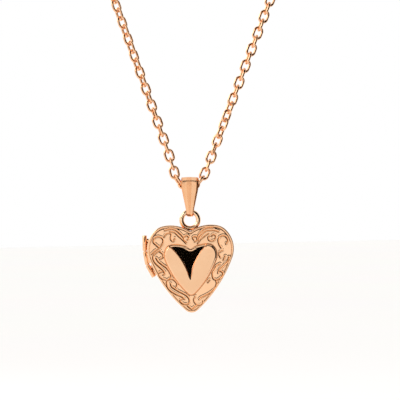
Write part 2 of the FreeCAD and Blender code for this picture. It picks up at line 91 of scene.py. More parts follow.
# The walls are brighter on the left and from the horizon down, and uneven as hung cloth is.
world = bpy.data.worlds.new("white_studio")
world.use_nodes = True
sky = world.node_tree
sky.nodes.clear()
where = add(sky, "ShaderNodeTexCoord")
parts = add(sky, "ShaderNodeSeparateXYZ", None, {"Vector": where.outputs["Generated"]})
fall = add(sky, "ShaderNodeMapRange",
           {"From Min": -0.6, "From Max": 0.7, "To Min": 1.18, "To Max": 0.93},
           {"Value": parts.outputs["X"]})
folds = add(sky, "ShaderNodeTexNoise", {"Scale": 2.2, "Detail": 1.0},
            {"Vector": where.outputs["Generated"]})
soft = add(sky, "ShaderNodeMapRange",
           {"From Min": 0.35, "From Max": 0.65, "To Min": 0.9, "To Max": 1.06},
           {"Value": folds.outputs["Fac"]})
glow = add(sky, "ShaderNodeMapRange",
           {"From Min": 0.02, "From Max": 0.15, "To Min": 1.14, "To Max": 1.0},
           {"Value": parts.outputs["Z"]})
even = add(sky, "ShaderNodeMath", None, {0: fall.outputs["Result"], 1: soft.outputs["Result"]},
           operation="MULTIPLY")
level = add(sky, "ShaderNodeMath", None, {0: even.outputs["Value"], 1: glow.outputs["Result"]},
            operation="MULTIPLY")
walls = add(sky, "ShaderNodeBackground", {"Color": linear("FFFDFA")},
            {"Strength": level.outputs["Value"]})
paper = add(sky, "ShaderNodeBackground", {"Color": linear("FFFFFF"), "Strength": 1.0})
rays = add(sky, "ShaderNodeLightPath")
seen = add(sky, "ShaderNodeMixShader", None,
           {"Fac": rays.outputs["Is Camera Ray"], 1: walls.outputs[0], 2: paper.outputs[0]})
add(sky, "ShaderNodeOutputWorld", None, {"Surface": seen.outputs["Shader"]})
bpy.context.scene.world = world


def flat_sheet(name, middle, width, height, facing, hidden=True):
    """A flat stage sheet: its middle in millimetres, and the direction that it faces.

    A hidden one shows only in the metal: it throws no shadow and darkens no matt surface.
    """
    out = Vector(facing).normalized()
    side = out.orthogonal() if abs(out.z) > 0.9 else out.cross(Vector((0, 0, 1))).normalized()
    up = side.cross(out).normalized()
    corners = [(-1, -1), (1, -1), (1, 1), (-1, 1)]
    points = [Vector(middle) + side * a * width / 2 + up * b * height / 2 for a, b in corners]
    mesh = bpy.data.meshes.new(name)
    mesh.from_pydata([p * MM for p in points], [], [(0, 1, 2, 3)])
    sheet = bpy.data.objects.new(name, mesh)
    bpy.context.scene.collection.objects.link(sheet)
    if hidden:
        sheet.visible_camera = False
        sheet.visible_shadow = False
        sheet.visible_diffuse = False
    return sheet


def painted(name, colour, roughness, shine=0.5, mottle=0.03):
    """A plain stage paint, whose colour drifts by the share that mottle gives."""
    material, tree, output = new_material(name)
    place = add(tree, "ShaderNodeTexCoord")
    cloud = add(tree, "ShaderNodeTexNoise", {"Scale": 4.0}, {"Vector": place.outputs["Object"]})
    tint = add(tree, "ShaderNodeMix", {"Factor": mottle, "A": linear(colour)},
               {"B": cloud.outputs["Color"]}, data_type="RGBA")
    paint = add(tree, "ShaderNodeBsdfPrincipled",
                {"Roughness": roughness, "Specular IOR Level": shine,
                 "Emission Strength": 0.0, "Emission Color": linear(colour)},
                {"Base Color": tint.outputs["Result"]})
    tree.links.new(paint.outputs["BSDF"], output.inputs["Surface"])
    return material


# Pale matt floor 70 mm below the bail's eye, lit from beneath. Its glow rises from 350 mm in
# front of the locket to 1 m.
FLOOR_GLOW = 0.17
FLOOR_GLOW_FRONT = 0.36
floor = flat_sheet("pale_floor", (0, 0, -70), 4000, 4000, (0, 0, 1), hidden=False)
floor_paint = painted("floor_paint", "E7E7E7", 0.9)
tree = floor_paint.node_tree
spread = add(tree, "ShaderNodeSeparateXYZ", None,
             {"Vector": add(tree, "ShaderNodeTexCoord").outputs["Object"]})
near = add(tree, "ShaderNodeMapRange",
           {"From Min": -0.35, "From Max": -1.0, "To Min": FLOOR_GLOW, "To Max": FLOOR_GLOW_FRONT},
           {"Value": spread.outputs["Y"]})
tree.links.new(near.outputs["Result"], tree.nodes["Principled BSDF"].inputs["Emission Strength"])
floor.data.materials.append(floor_paint)

# Cards faced with black velvet, each turned to the bail: name, middle, width and height.
black_card = painted("black_velvet", "020202", 0.9, shine=0.0, mottle=0.001)
for name, middle, width, height in [
    ("card_over_lens", (0, -200, 27), 180, 60),
    ("card_overhead", (0, -109, 152), 260, 162),
    ("card_right", (80, -60, 24), 150, 180),
]:
    sheet = flat_sheet(name, middle, width, height, [-m for m in middle])
    sheet.data.materials.append(black_card)

# Square softboxes: name, place, side in millimetres, power in watts and what each points at.
for name, place, size, power, aim in [
    ("softbox_left", (-260, -260, 190), 220, 0.32, (0, 0, 0)),
    ("softbox_back", (-190, 160, 120), 160, 0.16, (0, 0, -10)),
]:
    lamp = bpy.data.lights.new(name, "AREA")
    lamp.shape = "SQUARE"
    lamp.size = size * MM
    lamp.energy = power
    light = bpy.data.objects.new(name, lamp)
    light.location = Vector(place) * MM
    light.rotation_euler = (Vector(aim) - Vector(place)).to_track_quat("-Z", "Y").to_euler()
    bpy.context.scene.collection.objects.link(light)

# ---- The chain --------------------------------------------------------------------------
# A cable chain of round rose-gold-plated wire links, 3 mm long, each soldered shut and turned
# a quarter from the last. Two strands run from the bail's eye up to a clasp and a tag.

LINK_LENGTH = 3.0
LINK_WIDTH = 2.2
LINK_WIRE = 0.27  # radius


def close(grid, along, around):
    """Corner numbers of the quads of a grid of points, closed along its first or second way."""
    rows, columns = grid.shape[:2]
    number = np.arange(rows * columns).reshape(rows, columns)
    if along:
        number = np.vstack([number, number[:1]])
    if around:
        number = np.hstack([number, number[:, :1]])
    quads = [number[:-1, :-1], number[1:, :-1], number[1:, 1:], number[:-1, 1:]]
    return np.stack(quads, axis=-1).reshape(-1, 4)


def make_piece(name, body, material, grids, sharp=None, shade_and_dull=None):
    """One mesh from grids of points in millimetres, each given as (points, along, around).

    Doubled points are merged, which closes seams and poles, and faces are turned outwards.
    The value for each point in the last argument is kept as the attribute depth, by which the metal is
    dulled and its colour painted darker and warmer as shade.
    sharp is the angle in degrees past which an edge stays crisp.
    """
    points, faces, count = [], [], 0
    for grid, along, around in grids:
        faces.append(close(grid, along, around) + count)
        points.append(grid.reshape(-1, 3))
        count += points[-1].shape[0]
    mesh = bpy.data.meshes.new(name)
    mesh.from_pydata(np.concatenate(points) * MM, [], np.concatenate(faces).tolist())
    if shade_and_dull is not None:
        depth = mesh.attributes.new("depth", "FLOAT", "POINT")
        depth.data.foreach_set("value", shade_and_dull.astype(np.float32))
    shape = bmesh.new()
    shape.from_mesh(mesh)
    bmesh.ops.remove_doubles(shape, verts=shape.verts, dist=0.0005 * MM)
    bmesh.ops.dissolve_degenerate(shape, edges=shape.edges, dist=0.0002 * MM)
    bmesh.ops.recalc_face_normals(shape, faces=shape.faces)
    shape.to_mesh(mesh)
    shape.free()
    mesh.polygons.foreach_set("use_smooth", np.ones(len(mesh.polygons), bool))
    if sharp:
        mesh.set_sharp_from_angle(angle=math.radians(sharp))
    mesh.materials.append(material)
    piece = bpy.data.objects.new(name, mesh)
    bpy.context.scene.collection.objects.link(piece)
    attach(piece, body)
    return piece


# Painted shade: the darker, warmer colour that places marked by the depth attribute take on, with the
# roughness they gain.
HOLLOW_SHADE_COLOUR = "DE8540"
HOLLOW_ROUGHNESS = 0.36


def rose_gold(name, colour, deep, grain, roughness, depth=False):
    """Brass plated with rose gold and polished: a copper-pink mirror.

    The plate's colour drifts a little from place to place, and polishing leaves faint hazy
    patches and fine hairlines. With depth, the places that the mesh's depth attribute marks are
    rougher, as the polish never reaches them, and their colour is painted darker and warmer as shade.
    grain is the size of the patches in millimetres. The hairlines are
    0.11 mm apart and the soft dents 0.7 mm, both coarser than real ones so that they show.
    """
    material, tree, output = new_material(name)
    place = add(tree, "ShaderNodeTexCoord")
    where = {"Vector": place.outputs["Object"]}
    cloud = add(tree, "ShaderNodeTexNoise", {"Scale": 1000 / grain, "Detail": 3.0}, where)
    drift = add(tree, "ShaderNodeMapRange",
                {"From Min": 0.35, "From Max": 0.65, "To Min": 0.0, "To Max": 0.22},
                {"Value": cloud.outputs["Fac"]})
    base = add(tree, "ShaderNodeMix", {"A": linear(colour), "B": linear(deep)},
               {"Factor": drift.outputs["Result"]}, data_type="RGBA")
    haze = add(tree, "ShaderNodeMapRange",
               {"From Min": 0.3, "From Max": 0.7, "To Min": roughness * 0.75, "To Max": roughness * 1.35},
               {"Value": cloud.outputs["Fac"]})
    stretch = add(tree, "ShaderNodeMapping", {"Scale": (1.0, 1.0, 0.12), "Rotation": (0, 0.5, 0)}, where)
    hair = add(tree, "ShaderNodeTexNoise", {"Scale": 9000.0, "Detail": 2.0},
               {"Vector": stretch.outputs["Vector"]})
    dent = add(tree, "ShaderNodeTexNoise", {"Scale": 1400.0, "Detail": 1.0}, where)
    height = add(tree, "ShaderNodeMath", {1: 0.25}, {0: hair.outputs["Fac"]}, operation="MULTIPLY")
    total = add(tree, "ShaderNodeMath", None,
                {0: height.outputs["Value"], 1: dent.outputs["Fac"]}, operation="ADD")
    bump = add(tree, "ShaderNodeBump", {"Strength": 0.5, "Distance": 0.006 * MM},
               {"Height": total.outputs["Value"]})
    colour_source = base.outputs["Result"]
    polish = haze.outputs["Result"]
    if depth:
        # Painted shade: where the depth attribute is high, the colour is made darker and warmer and the
        # metal rougher.
        hollow = add(tree, "ShaderNodeAttribute", attribute_name="depth")
        warm = add(tree, "ShaderNodeMix", {"B": linear(HOLLOW_SHADE_COLOUR)},
                   {"Factor": hollow.outputs["Fac"], "A": colour_source}, data_type="RGBA")
        colour_source = warm.outputs["Result"]
        dull = add(tree, "ShaderNodeMath", {1: HOLLOW_ROUGHNESS}, {0: hollow.outputs["Fac"], 2: polish},
                   operation="MULTIPLY_ADD")
        polish = dull.outputs["Value"]
    metal = add(tree, "ShaderNodeBsdfPrincipled", {"Metallic": 1.0},
                {"Base Color": colour_source, "Roughness": polish,
                 "Normal": bump.outputs["Normal"]})
    tree.links.new(metal.outputs["BSDF"], output.inputs["Surface"])
    return material


chain_metal = rose_gold("rose_gold_wire", "F2C096", "E0935A", 1.1, 0.07)


def link_points():
    """A link lying along X: a circle of wire whose two halves are drawn apart by straight runs."""
    bend = LINK_WIDTH / 2 - LINK_WIRE
    run = (LINK_LENGTH - LINK_WIDTH) / 2
    half = np.linspace(-math.pi / 2, math.pi / 2, 15)
    turn = np.concatenate([half, half + math.pi])
    shift = np.repeat([run, -run], len(half))
    around = np.linspace(0, 2 * math.pi, 12, endpoint=False)
    out = np.stack([np.cos(turn), np.zeros_like(turn), np.sin(turn)], axis=-1)
    middle = out * bend + np.stack([shift, 0 * shift, 0 * shift], axis=-1)
    ring = out[:, None, :] * np.cos(around)[None, :, None]
    ring = ring + np.array([0, 1, 0]) * np.sin(around)[None, :, None]
    return middle[:, None, :] + ring * LINK_WIRE


def placed(points, middle, heading, roll):
    """Points made along X, rolled about their own length and set along a heading in XZ."""
    a, h = math.radians(roll), math.radians(heading)
    x, y, z = points[..., 0], points[..., 1], points[..., 2]
    y, z = y * math.cos(a) - z * math.sin(a), y * math.sin(a) + z * math.cos(a)
    x, z = x * math.cos(h) - z * math.sin(h), x * math.sin(h) + z * math.cos(h)
    return np.stack([x, y, z], axis=-1) + np.array(middle)


def smooth_route(name, corners):
    """Points along the NURBS line of a strand, whose control points are given in metres."""
    curve = bpy.data.curves.new(name, "CURVE")
    curve.dimensions = "3D"
    curve.resolution_u = 64
    spline = curve.splines.new("NURBS")
    spline.points.add(len(corners) - 1)
    for point, corner in zip(spline.points, corners):
        point.co = (*corner, 1)
    spline.order_u = 3
    spline.use_endpoint_u = True
    holder = bpy.data.objects.new(name, curve)
    bpy.context.scene.collection.objects.link(holder)
    depsgraph = bpy.context.evaluated_depsgraph_get()
    line = bpy.data.meshes.new_from_object(holder.evaluated_get(depsgraph))
    points = np.array([v.co for v in line.vertices])
    bpy.data.objects.remove(holder)
    return points


def strand(name, route, count, first_roll, turn, twist, settles, bends):
    """Links threaded along a route, each rolled by turn from the last and twisted a little more.

    The twist stops after the link that settles gives. bends are the rolls of the first links,
    by the bail, which lean to it.
    """
    gaps = np.linalg.norm(np.diff(route, axis=0), axis=1)
    along = np.concatenate([[0], np.cumsum(gaps)])
    total = count + len(bends)
    rolls = bends + [first_roll + turn * n + twist * min(n, settles) for n in range(1, count + 1)]
    pitch = along[-1] / total
    stops = np.arange(total + 1) * pitch
    ends = np.stack([np.interp(stops, along, route[:, i]) for i in range(3)], axis=-1)
    links = []
    for start, end, roll in zip(ends, ends[1:], rolls):
        step = end - start
        heading = math.degrees(math.atan2(step[2], step[0]))
        links.append((placed(link_points(), (start + end) / 2 / MM, heading, roll), True, True))
    return make_piece(name, "chain", chain_metal, links)


eye_links = make_piece("eye_links", "chain", chain_metal, [
    (placed(link_points(), (-1.143, 0, -0.111), 165, 36), True, True),
    (placed(link_points(), (0.655, 0, -0.158), 12, -36), True, True),
])
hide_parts("chain_middle")

LEFT_ROUTE = [
    (-0.002037, 0, 0.000129),
    (-0.003201, 0, 0.001567),
    (-0.003362, 0, 0.003410),
    (-0.007702, 0, 0.015666),
    (-0.016948, 0, 0.041775),
]
RIGHT_ROUTE = [
    (0.001560, 0, 0.000035),
    (0.002798, 0, 0.001410),
    (0.003430, 0, 0.003148),
    (0.008004, 0, 0.015318),
    (0.017099, 0, 0.039514),
]
left_line = smooth_route("left_route", LEFT_ROUTE)
right_line = smooth_route("right_route", RIGHT_ROUTE)
left_strand = strand("left_strand", left_line, 22, 180, 90, 2.5, 14, [108, 180])
right_strand = strand("right_strand", right_line, 21, -165, -90, -9, 10, [-98, -165])

# ---- The ends of the chain --------------------------------------------------------------
# A jump ring at the end of each strand. The left one carries a spring ring clasp: a hollow
# ring with a sliding rod on a spring. The right one carries a flat stamped tag.


def torus(middle, radius, wire, heading, roll, steps=72, sides=20):
    """A ring of wire: a circle carried round a circle in XZ, then rolled and turned."""
    turn = np.linspace(0, 2 * math.pi, steps, endpoint=False)
    around = np.linspace(0, 2 * math.pi, sides, endpoint=False)
    out = np.stack([np.cos(turn), 0 * turn, np.sin(turn)], axis=-1)
    ring = out[:, None, :] * np.cos(around)[None, :, None]
    ring = ring + np.array([0, 1, 0]) * np.sin(around)[None, :, None]
    return placed(out[:, None, :] * radius + ring * wire, middle, heading, roll), True, True


def middle_of(node):
    """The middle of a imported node's box, in millimetres."""
    low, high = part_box(node)
    return (np.array(low) + np.array(high)) / 2 / MM


LEFT_HEADING = 109.5
RIGHT_HEADING = 69.4
JUMP_RADIUS = 1.2
JUMP_WIRE = 0.3  # radius


def jump_ring(name, node, heading, last_roll):
    """A round wire ring, turned halfway between the last link and the fitting."""
    roll = 90 + ((last_roll + 90) % 180 - 90) / 2
    ring = make_piece(name, "chain", chain_metal,
                      [torus(middle_of(node), JUMP_RADIUS, JUMP_WIRE, heading, roll)])
    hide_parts(node)
    return ring


left_ring = jump_ring("left_ring", "jump_ring_left", LEFT_HEADING, 180 + 90 * 22 + 2.5 * 14)
right_ring = jump_ring("right_ring", "jump_ring_right", RIGHT_HEADING, -165 - 90 * 21 - 9 * 10)

steel, tree, output = new_material("drawn_spring_steel")
# Hard drawn steel wire: grey, with fine draw marks along its length.
place = add(tree, "ShaderNodeTexCoord")
marks = add(tree, "ShaderNodeTexNoise", {"Scale": 6000.0, "Detail": 2.0},
            {"Vector": place.outputs["Object"]})
shade = add(tree, "ShaderNodeMapRange", {"To Min": 0.18, "To Max": 0.34},
            {"Value": marks.outputs["Fac"]})
grey = add(tree, "ShaderNodeMix", {"A": linear("C9CACC"), "B": linear("9EA0A4")},
           {"Factor": marks.outputs["Fac"]}, data_type="RGBA")
bump = add(tree, "ShaderNodeBump", {"Strength": 0.3, "Distance": 0.004 * MM},
           {"Height": marks.outputs["Fac"]})
wire = add(tree, "ShaderNodeBsdfPrincipled", {"Metallic": 1.0},
           {"Base Color": grey.outputs["Result"], "Roughness": shade.outputs["Result"],
            "Normal": bump.outputs["Normal"]})
tree.links.new(wire.outputs["BSDF"], output.inputs["Surface"])


def repaint(node, material):
    """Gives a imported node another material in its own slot."""
    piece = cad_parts[node]
    piece.data.materials.clear()
    piece.data.materials.append(material)
    return piece


plate = rose_gold("rose_gold_sheet", "F1C29A", "E3A06E", 2.0, 0.09)
clasp_body = repaint("clasp_body", plate)
clasp_lever = repaint("clasp_lever", plate)
clasp_spring = repaint("clasp_spring", steel)
chain_tag = repaint("chain_tag", plate)


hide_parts("chain_left")
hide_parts("chain_right")

# ---- The top ring -----------------------------------------------------------------------
# A closed ring of wire 1 mm thick, soldered into the notch of the heart on the back cover. The
# bail's lower loop swings on it.

RING_HEIGHT = -7.37
RING_RADIUS = 1.7
RING_WIRE = 0.46  # radius
RING_EXTRA = 0.04  # added to both, which leaves the inside where it was

ring_metal = rose_gold("rose_gold_ring", "F6CFA8", "E9AF7C", 3.0, 0.05)
top_ring = make_piece("soldered_ring", "locket_back", ring_metal,
                      [torus((0, 0, RING_HEIGHT), RING_RADIUS + RING_EXTRA,
                             RING_WIRE + RING_EXTRA, 0, 0, steps=160, sides=48)])
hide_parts("top_ring")

# ---- The bail ---------------------------------------------------------------------------
# One strip of sheet folded over the chain and closed round the top ring. It tapers towards
# the ring, and its front is filed to three long flats.

EYE_RADIUS = 1.33
FOOT_RADIUS = 0.75
BAIL_SHEET = 0.3
BAIL_WIDTH = 3.6
BAIL_FOOT_WIDTH = 1.4
TAPER_START = -0.6
TAPER_STOP = 0.8  # above the foot
WAIST = 0.06  # taken off half the width where the taper starts
# Across the strip: (place as a share of half its width, share of its thickness, how dull and how dark its
# painted shade is).
BAIL_SECTION = [(-1, 0, 0.9), (-1, 0.4, 0.9), (-0.97, 0.58, 0.6), (-0.9, 0.72, 0.25),
                (-0.44, 0.955, 0.05), (-0.38, 0.975, 0.3), (0.16, 1, 0.35), (0.22, 0.99, 0),
                (0.72, 0.87, 0.1), (0.78, 0.84, 0.7), (0.97, 0.42, 0.8), (1, 0.3, 0.9), (1, 0, 0.9)]
CREASE_HEIGHT = 0.88
CREASE_TILT = math.radians(60)
FRONT_TIP = math.radians(3)
CREASE_SOFT = 0.055


def bail_points():
    """The strip's side view carried round as a band.

    Along: half a circle over the eye, a tangent line down, half a circle round the ring and
    a tangent line up. Across: a flat middle and two flats that fall away to the edges, which
    are rounded over; the inside of the strip is flat. In front of the eye the face is almost
    upright, tipped 3 degrees, up to a soft crease, above which it slopes back over the top.
    """
    top, foot = EYE_RADIUS, FOOT_RADIUS
    drop = -(RING_HEIGHT + RING_RADIUS)
    lift = math.asin((top - foot) / drop)
    over = np.linspace(-lift, math.pi + lift, 180)
    under = np.linspace(math.pi + lift, 2 * math.pi - lift, 40)
    side = np.linspace(0, 1, 26)[1:-1]
    eye = np.stack([np.cos(over), np.sin(over)], -1)
    loop = np.stack([np.cos(under), np.sin(under)], -1)
    ahead, behind = np.repeat(eye[-1:], len(side), 0), np.repeat(eye[:1], len(side), 0)
    out = np.concatenate([eye, ahead, loop, behind])
    low = np.array([0, -drop])
    line = eye[-1] * top * (1 - side[:, None]) + (loop[0] * foot + low) * side[:, None]
    back = (loop[-1] * foot + low) * (1 - side[:, None]) + eye[0] * top * side[:, None]
    inner = np.concatenate([eye * top, line, loop * foot + low, back])
    outer_height = inner[:, 1] + out[:, 1] * BAIL_SHEET
    end = -drop - foot - BAIL_SHEET + TAPER_STOP
    share = np.clip((TAPER_START - outer_height) / (TAPER_START - end), 0, 1)
    half = (BAIL_WIDTH * (1 - share) + BAIL_FOOT_WIDTH * share) / 2
    half = half - WAIST * np.clip(1 - np.abs(outer_height - TAPER_START) / 0.5, 0, 1)
    across, thick, _ = np.array(BAIL_SECTION).T
    sheet = np.full(len(out), BAIL_SHEET)
    crown = math.pi - CREASE_TILT
    front_at = top + BAIL_SHEET + CREASE_HEIGHT * math.sin(FRONT_TIP)
    brow = -front_at * math.cos(crown) + CREASE_HEIGHT * math.sin(crown)
    upright = (top + BAIL_SHEET) / np.clip(np.cos(over - math.pi - FRONT_TIP), 0.2, 1)
    slope = brow / np.maximum(np.cos(over - crown), 0.2)
    soft = -CREASE_SOFT * np.log(np.exp(-upright / CREASE_SOFT) + np.exp(-slope / CREASE_SOFT))
    high = (over > crown - math.acos(brow / (top + BAIL_SHEET))) & (over < math.pi + FRONT_TIP)
    sheet[:len(over)] = np.where(high, soft, top + BAIL_SHEET) - top
    front = inner[:, None, :] + out[:, None, :] * sheet[:, None, None] * thick[None, :, None]
    wide = half[:, None] * across[None, :]
    return np.stack([wide, front[..., 0], front[..., 1]], axis=-1)


bail_grid = bail_points()
# The third column marks the strip's rounded sides and the lines between its flats, which are made rougher
# and painted darker and warmer as shade.
bail_shade_and_dull = np.tile([shade_and_dull for _, _, shade_and_dull in BAIL_SECTION], len(bail_grid))
bail_metal = rose_gold("rose_gold_bail", "F1C096", "E5A473", 1.6, 0.08, depth=True)
bail = make_piece("folded_bail", "bail", bail_metal, [(bail_grid, True, True)], sharp=12,
                  shade_and_dull=bail_shade_and_dull)
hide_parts("bail")

# ---- The front cover --------------------------------------------------------------------
# Brass sheet 0.35 mm thick, stamped as a heart with a smaller heart raised in its middle,
# engraved with scrolls round it, then polished and plated. A sharp valley runs down the
# raised heart from its notch.

# Each heart: the height of its tip, the radii and joints (in degrees) of the arcs that run from
# the tip up one side, and the radius of the cleft between the two lobes.
HEART = {"lift": -26.64, "radii": (1.87, 27.63, 5.56, 3.4, 7.1), "cleft": 0.5,
         "joints": (-48.3, -20.9, 45, 77.4)}
DOME = {"lift": -26.64 + 3.65, "radii": (0.98, 19.12, 2.65, 1.6, 4.5), "cleft": 0.3,
        "joints": (-46.07, -20.35, 40, 80)}
SHEET = 0.35
SEAM = 0.01
ARC_STEPS = (14, 150, 76, 26, 62, 8)  # points on each arc, the cleft last
FORWARD = 0.5
ROLL = math.radians(1.2)


def unit(degrees):
    """Directions (x, z) at angles from +X."""
    turn = np.radians(degrees)
    return np.stack([np.cos(turn), np.sin(turn)], axis=-1)


def heart_outline(heart, inset=0.0, scale=1.0):
    """The closed outline as points (x, z), moved in by inset and scaled about its middle.

    Five arcs, each tangent to the next, run from the tip up the right side to the cleft,
    which is an arc the other way. Both hearts have the same number of points on each arc.
    """
    joints, radii, cleft = heart["joints"], heart["radii"], heart["cleft"]
    centres = [np.array([0.0, radii[0]])]
    for angle, before, after in zip(joints, radii, radii[1:]):
        centres.append(centres[-1] + unit(angle) * (before - after))
    top = centres[-1]
    rise = math.sqrt((radii[-1] + cleft) ** 2 - top[0] ** 2)
    last = math.degrees(math.atan2(rise, -top[0]))
    starts, ends = (-90, *joints), (*joints, last)
    arcs = [c + unit(np.linspace(a, b, n, endpoint=False)) * (r - inset)
            for c, r, a, b, n in zip(centres, radii, starts, ends, ARC_STEPS)]
    notch = unit(np.linspace(last + 180, 270, ARC_STEPS[-1] + 1)) * (cleft + inset)
    right = np.concatenate([*arcs, notch + np.array([0, top[1] + rise])])
    left = right[-2:0:-1] * np.array([-1, 1])
    middle = np.array([0, (radii[0] + top[1]) / 2])
    return middle + (np.concatenate([right, left]) - middle) * scale + np.array([0, heart["lift"]])


def hang(points):
    """Moves the closed locket forward of its ring and rolls it, the hinge side lower."""
    x, y, z = points[..., 0], points[..., 1] - FORWARD, points[..., 2] - RING_HEIGHT
    turned = x * math.cos(ROLL) - z * math.sin(ROLL), z * math.cos(ROLL) + x * math.sin(ROLL)
    return np.stack([turned[0], y, turned[1] + RING_HEIGHT], axis=-1)


def rows(outline, depths):
    """An outline repeated at several depths, as rows of points."""
    return np.stack([np.stack([line[:, 0], np.full(len(line), float(y)), line[:, 1]], axis=-1)
                     for line, y in zip(outline, depths)])


def through(corners, steps=14):
    """A smooth line through a few corners: each stretch is the cubic of its four nearest."""
    line = np.array(corners, float)
    line = np.concatenate([2 * line[:1] - line[1:2], line, 2 * line[-1:] - line[-2:-1]])
    t = np.linspace(0, 1, steps, endpoint=False)[None, :, None]
    a, b, c, d = (line[i:len(line) - 3 + i, None, :] for i in range(4))
    part = 0.5 * (2 * b + (c - a) * t + (2 * a - 5 * b + 4 * c - d) * t**2
                  + (3 * b - a - 3 * c + d) * t**3)
    return np.concatenate([part.reshape(-1, 2), line[-2:-1]])


# The engraved scrolls, as (depth of cut, corners of the stroke) on each half of the border.
SCROLLS = [
    # right half, from the cleft round to the tip
    (1.0, [(0.9, -11.9), (1.4, -11.55), (1.35, -11.0), (0.9, -10.8), (0.5, -11.1), (0.75, -11.5)]),
    (1.0, [(1.5, -10.95), (1.8, -10.45), (2.3, -9.85), (3.0, -9.3), (3.8, -9.05), (4.7, -9.05)]),
    (1.0, [(1.6, -11.6), (1.95, -10.95), (2.6, -10.2), (3.3, -9.7), (4.0, -9.6), (4.95, -9.6),
           (5.9, -9.9)]),
    (0.8, [(1.5, -12.3), (2.05, -11.5), (2.65, -11.0), (3.3, -10.5), (3.8, -10.2)]),
    (0.9, [(4.0, -10.7), (3.7, -11.1), (3.9, -11.6), (4.5, -11.85), (5.1, -11.5), (5.3, -10.8),
           (4.8, -10.45),
           (4.45, -10.8)]),
    (1.0, [(7.4, -12.5), (7.8, -11.8), (7.5, -11.05), (6.8, -10.75), (6.1, -11.05), (5.8, -11.7),
           (6.0, -12.6),
           (6.4, -13.3)]),
    (0.8, [(6.7, -13.8), (6.1, -14.1), (5.9, -14.6), (6.2, -15.3)]),
    (0.9, [(7.2, -15.0), (6.8, -15.85)]),
    (1.0, [(7.95, -15.2), (7.75, -15.9), (7.25, -16.55), (6.65, -17.15), (6.1, -17.6), (5.75, -18.1),
           (5.6, -18.5)]),
    (1.0, [(6.05, -16.6), (5.4, -17.0), (5.0, -17.6), (4.45, -18.5), (4.6, -19.6), (5.3, -19.95),
           (6.05, -19.55),
           (6.6, -18.9), (6.55, -18.4), (6.1, -18.1)]),
    (1.0, [(5.15, -20.0), (5.25, -20.8), (4.8, -21.8), (3.85, -22.6), (2.8, -23.15), (1.95, -23.55),
           (1.55, -23.9)]),
    (0.7, [(3.85, -19.85), (3.4, -20.4)]),
    (0.8, [(0.8, -23.25), (0.45, -24.0), (0.85, -24.8), (1.55, -25.1), (2.3, -24.75), (2.35, -24.2)]),
    (1.0, [(0.0, -26.0), (0.5, -25.5), (1.1, -25.1)]),
    # left half, from the cleft round to the tip
    (1.0, [(-0.8, -11.9), (-1.35, -11.5), (-1.3, -10.9), (-0.75, -10.6), (-0.3, -11.0),
           (-0.6, -11.45)]),
    (1.0, [(-1.4, -11.1), (-1.8, -10.5), (-2.5, -9.8), (-3.2, -9.35), (-4.1, -9.15), (-5.3, -9.45)]),
    (0.9, [(-0.9, -12.2), (-1.7, -11.35), (-2.5, -10.6), (-3.3, -9.85), (-4.3, -9.7)]),
    (0.9, [(-5.5, -10.8), (-4.9, -10.1), (-4.0, -10.15), (-4.1, -11.2), (-3.6, -11.75), (-3.2, -11.1)]),
    (1.0, [(-8.1, -14.3), (-7.4, -13.65), (-6.5, -13.05), (-5.9, -12.3), (-5.65, -11.6), (-5.9, -11.0),
           (-6.7, -10.7), (-7.45, -11.0), (-7.7, -11.8), (-7.2, -12.35), (-6.55, -13.0)]),
    (1.0, [(-6.3, -13.6), (-6.9, -13.85), (-7.6, -14.4), (-7.85, -15.1), (-7.5, -16.0), (-6.8, -16.75),
           (-5.9, -17.6), (-5.5, -18.3), (-5.8, -18.7)]),
    (0.8, [(-5.9, -17.95), (-6.6, -18.2), (-6.7, -18.8), (-6.1, -19.4), (-5.3, -19.7)]),
    (0.8, [(-6.3, -13.9), (-5.85, -14.3), (-5.8, -14.95), (-6.4, -15.4)]),
    (1.0, [(-7.2, -15.1), (-6.8, -15.8), (-6.0, -16.5), (-5.1, -17.2), (-4.5, -18.0), (-4.15, -18.9),
           (-4.5, -19.5), (-5.0, -19.9), (-5.1, -20.6), (-4.8, -21.5), (-4.1, -22.2), (-3.1, -22.8),
           (-2.0, -23.3), (-1.45, -23.8)]),
    (1.0, [(-4.9, -19.75), (-4.0, -19.6), (-3.2, -20.1), (-2.95, -20.8), (-3.25, -21.4)]),
    (1.0, [(-4.3, -20.5), (-4.1, -21.1), (-3.5, -21.6), (-2.7, -22.1), (-1.8, -22.6), (-1.0, -23.1),
           (-0.5, -23.8), (-0.5, -24.5), (-1.0, -24.9), (-1.8, -24.75), (-2.4, -24.1), (-1.8, -23.7)]),
    (1.0, [(0.0, -26.0), (-0.4, -25.6), (-0.85, -25.2)]),
]
CUT_WIDTH = 0.12
CUT_DEPTH = 0.048
CUT_REACH = 0.7  # from a stroke, past which nothing is cut
BURR = 0.02
BURR_PLACE = 2.1  # cut widths from the middle of the stroke


def engraved(x, z):
    """Share of the engraving's depth at each point, and of the burr raised beside it.

    A cut is e to the minus square of the distance from its stroke over its width; the burr is
    a ridge of the same kind that lies a little way off.
    """
    deepest = np.zeros_like(x)
    ridge = np.zeros_like(x)
    for strength, corners in SCROLLS:
        line = through(corners)
        low, high = line.min(axis=0) - CUT_REACH, line.max(axis=0) + CUT_REACH
        near = (x > low[0]) & (x < high[0]) & (z > low[1]) & (z < high[1])
        spots = np.stack([x[near], z[near]], axis=-1)
        start, step = line[:-1], np.diff(line, axis=0)
        rest = spots[:, None, :] - start[None]
        share = np.clip((rest * step).sum(-1) / (step**2).sum(-1), 0, 1)
        away = np.linalg.norm(rest - share[..., None] * step, axis=-1).min(axis=1)
        cut = strength * np.exp(-((away / CUT_WIDTH) ** 2))
        deepest[near] = np.maximum(deepest[near], cut)
        burr = strength * np.exp(-(((away - BURR_PLACE * CUT_WIDTH) / CUT_WIDTH) ** 2))
        ridge[near] = np.maximum(ridge[near], burr)
    return deepest, ridge * (1 - deepest)


